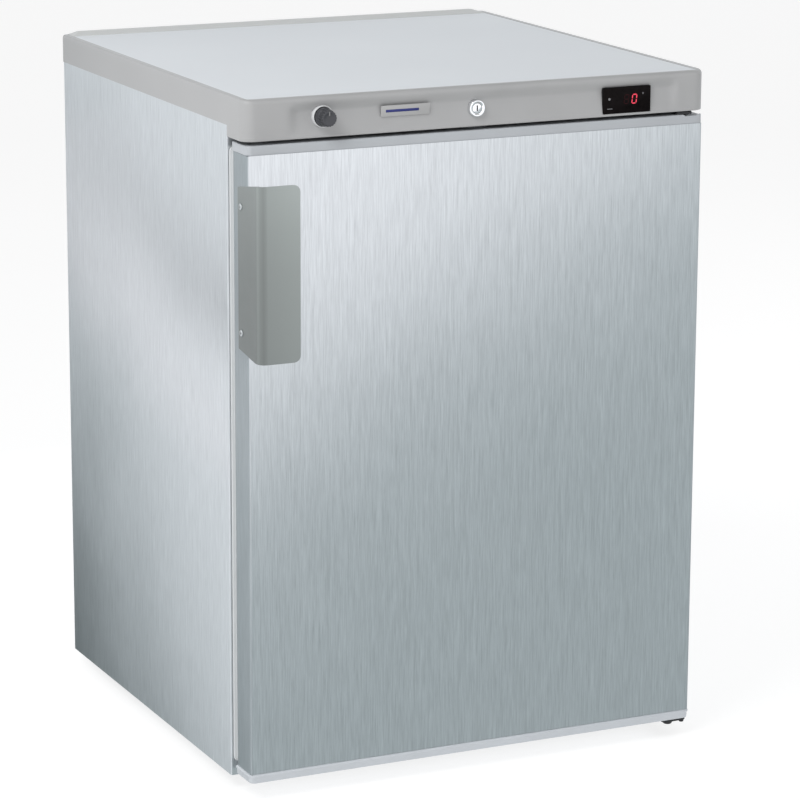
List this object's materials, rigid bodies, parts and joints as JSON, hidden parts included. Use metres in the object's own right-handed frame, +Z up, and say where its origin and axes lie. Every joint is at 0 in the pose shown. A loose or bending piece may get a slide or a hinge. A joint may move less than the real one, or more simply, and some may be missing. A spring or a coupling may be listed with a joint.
{
  "type": "undercounter refrigerator",
  "caption": "Undercounter refrigerator: steel cabinet and hinged steel door, side-mounted handle, moulded top frame with thermostat, lock and temperature display, wire shelves inside.",
  "frame": {"origin": "centre of the footprint's bounding box, on the floor", "axes": "+X to the right seen from the front, +Y to the rear, so the door's front faces -Y, +Z up"},
  "size_m": [0.598, 0.64, 0.838],
  "materials": {
    "stainless": "vertical brushed grain",
    "galvanised_sheet": "satin",
    "frame_plastic": "satin",
    "cap_plastic": "satin",
    "laminate": "satin",
    "liner_plastic": "semi-gloss",
    "black_plastic": "satin",
    "knob_plastic": "satin",
    "black_paint": "satin",
    "handle_paint": "satin",
    "chrome": "polished",
    "display_window": "gloss",
    "display_digit": "gloss",
    "foam": "matte",
    "gasket_rubber": "matte",
    "black_rubber": "matte",
    "shelf_wire": "satin",
    "aluminium": "satin",
    "copper": "satin"
  },
  "bodies": {
    "cabinet": {"side_panel_left": "stainless", "side_panel_right": "stainless", "rear_panel": "galvanised_sheet", "base_pan": "galvanised_sheet", "front_rail": "black_paint", "insulation_foam": "foam", "inner_liner": "liner_plastic", "top_frame": "frame_plastic", "worktop_panel": "laminate", "display_module": "black_plastic", "display_window": "display_window", "thermostat_body": "black_plastic", "thermostat_bezel": "cap_plastic", "lock_barrel": "chrome", "badge_blank": "galvanised_sheet", "hinge_bracket_top": "black_paint", "hinge_bracket_bottom": "black_paint", "evaporator_plate": "aluminium", "fan_shroud": "liner_plastic", "fan_motor": "black_plastic", "fan_guard": "liner_plastic", "temperature_probe": "copper", "compressor_plate": "galvanised_sheet", "compressor_shell": "black_paint", "grommet_1": "black_rubber", "grommet_2": "black_rubber", "grommet_3": "black_rubber", "grommet_4": "black_rubber", "relay_box": "black_plastic", "evaporation_tray": "frame_plastic", "condenser_grid": "black_paint", "filter_dryer": "copper", "discharge_line": "black_paint", "suction_line": "copper", "cable_gland": "black_plastic", "roller_bracket_left": "galvanised_sheet", "roller_bracket_right": "galvanised_sheet"},
    "door": {"door_skin": "stainless", "door_cap_top": "cap_plastic", "door_cap_bottom": "cap_plastic", "door_foam": "foam", "door_liner": "liner_plastic", "door_gasket": "gasket_rubber", "door_handle": "handle_paint", "handle_screw_upper": "chrome", "handle_screw_lower": "chrome"},
    "thermostat_knob": {"thermostat_knob": "knob_plastic"},
    "lock": {"lock_plug": "chrome", "lock_cam": "galvanised_sheet"},
    "fan": {"fan_blades": "black_plastic"},
    "foot_left": {"levelling_foot_left": "black_plastic"},
    "foot_right": {"levelling_foot_right": "black_plastic"},
    "roller_left": {"roller_left": "black_plastic"},
    "roller_right": {"roller_right": "black_plastic"},
    "shelf_lower": {"shelf_lower": "shelf_wire"},
    "shelf_middle": {"shelf_middle": "shelf_wire"},
    "shelf_upper": {"shelf_upper": "shelf_wire"}
  },
  "joints": [
    {"name": "door_hinge", "type": "hinge", "parent": "cabinet", "child": "door", "pos_m": [0.279, -0.262, 0.4], "axis": [0, 0, 1], "range_deg": [0, 115]},
    {"name": "thermostat_turn", "type": "hinge", "parent": "cabinet", "child": "thermostat_knob", "pos_m": [-0.201, -0.28, 0.8106], "axis": [0, 1, 0], "range_deg": [0, 300]},
    {"name": "lock_turn", "type": "hinge", "parent": "cabinet", "child": "lock", "pos_m": [-0.006, -0.28, 0.8076], "axis": [0, 1, 0], "range_deg": [0, 90]},
    {"name": "fan_spin", "type": "hinge", "parent": "cabinet", "child": "fan", "pos_m": [0, 0.178, 0.691], "axis": [0, 1, 0], "continuous": true},
    {"name": "foot_left_turn", "type": "hinge", "parent": "cabinet", "child": "foot_left", "pos_m": [-0.248, -0.165, 0.02], "axis": [0, 0, 1], "continuous": true},
    {"name": "foot_right_turn", "type": "hinge", "parent": "cabinet", "child": "foot_right", "pos_m": [0.248, -0.165, 0.02], "axis": [0, 0, 1], "continuous": true},
    {"name": "roller_left_spin", "type": "hinge", "parent": "cabinet", "child": "roller_left", "pos_m": [-0.25, 0.285, 0.015], "axis": [1, 0, 0], "continuous": true},
    {"name": "roller_right_spin", "type": "hinge", "parent": "cabinet", "child": "roller_right", "pos_m": [0.25, 0.285, 0.015], "axis": [1, 0, 0], "continuous": true},
    {"name": "shelf_lower_slide", "type": "slide", "parent": "cabinet", "child": "shelf_lower", "axis": [0, -1, 0], "range_m": [0, 0.025]},
    {"name": "shelf_middle_slide", "type": "slide", "parent": "cabinet", "child": "shelf_middle", "axis": [0, -1, 0], "range_m": [0, 0.025]},
    {"name": "shelf_upper_slide", "type": "slide", "parent": "cabinet", "child": "shelf_upper", "axis": [0, -1, 0], "range_m": [0, 0.025]}
  ]
}
